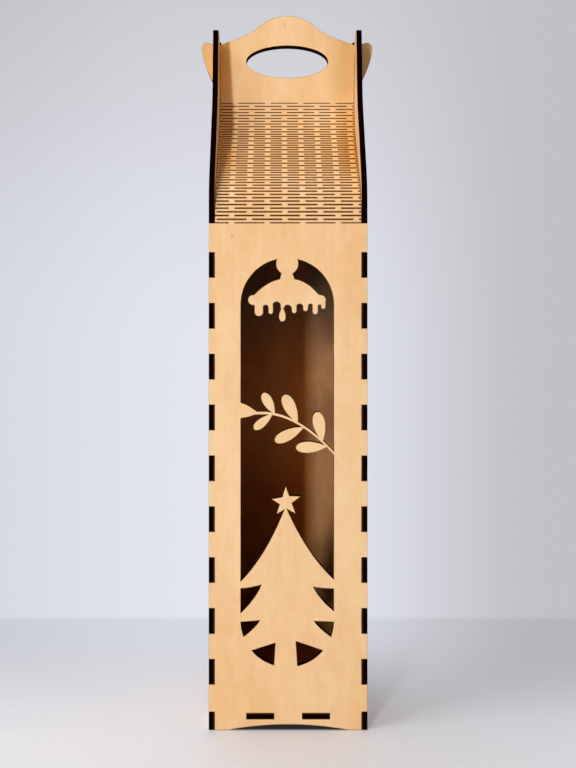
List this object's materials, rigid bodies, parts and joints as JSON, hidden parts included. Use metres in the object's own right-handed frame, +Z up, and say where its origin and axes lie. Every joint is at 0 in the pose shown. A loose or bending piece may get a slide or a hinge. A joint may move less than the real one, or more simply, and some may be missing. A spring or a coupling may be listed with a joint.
{
  "type": "wooden wine box",
  "caption": "Free-standing carrying box for one bottle: fretwork window, bending slit plywood shoulders and a hooked double handle.",
  "frame": {"origin": "centre of the footprint, on the surface that the box stands on", "axes": "+X across the width to the right-hand side panel seen from the window side, +Y from the window wall to the plain back wall, +Z up"},
  "size_m": [0.1176, 0.1, 0.4659],
  "materials": {
    "birch_panel": "satin",
    "birch_hinge": "satin",
    "birch_side": "satin"
  },
  "bodies": {
    "root": {"front_panel": "birch_panel", "front_flex_hinge": "birch_hinge", "back_panel": "birch_panel", "back_flex_hinge": "birch_hinge", "left_side": "birch_side", "right_side": "birch_side", "base_panel": "birch_side"},
    "front_handle": {"front_handle": "birch_panel"},
    "back_handle": {"back_handle": "birch_panel"}
  },
  "joints": [
    {"name": "front_handle_lift", "type": "slide", "parent": "root", "child": "front_handle", "axis": [0, 0, 1], "range_m": [0, 0.012], "stiffness_N_per_m": 400, "deforming": ["front_flex_hinge"]},
    {"name": "back_handle_lift", "type": "slide", "parent": "root", "child": "back_handle", "axis": [0, 0, 1], "range_m": [0, 0.012], "stiffness_N_per_m": 400, "deforming": ["back_flex_hinge"]}
  ]
}
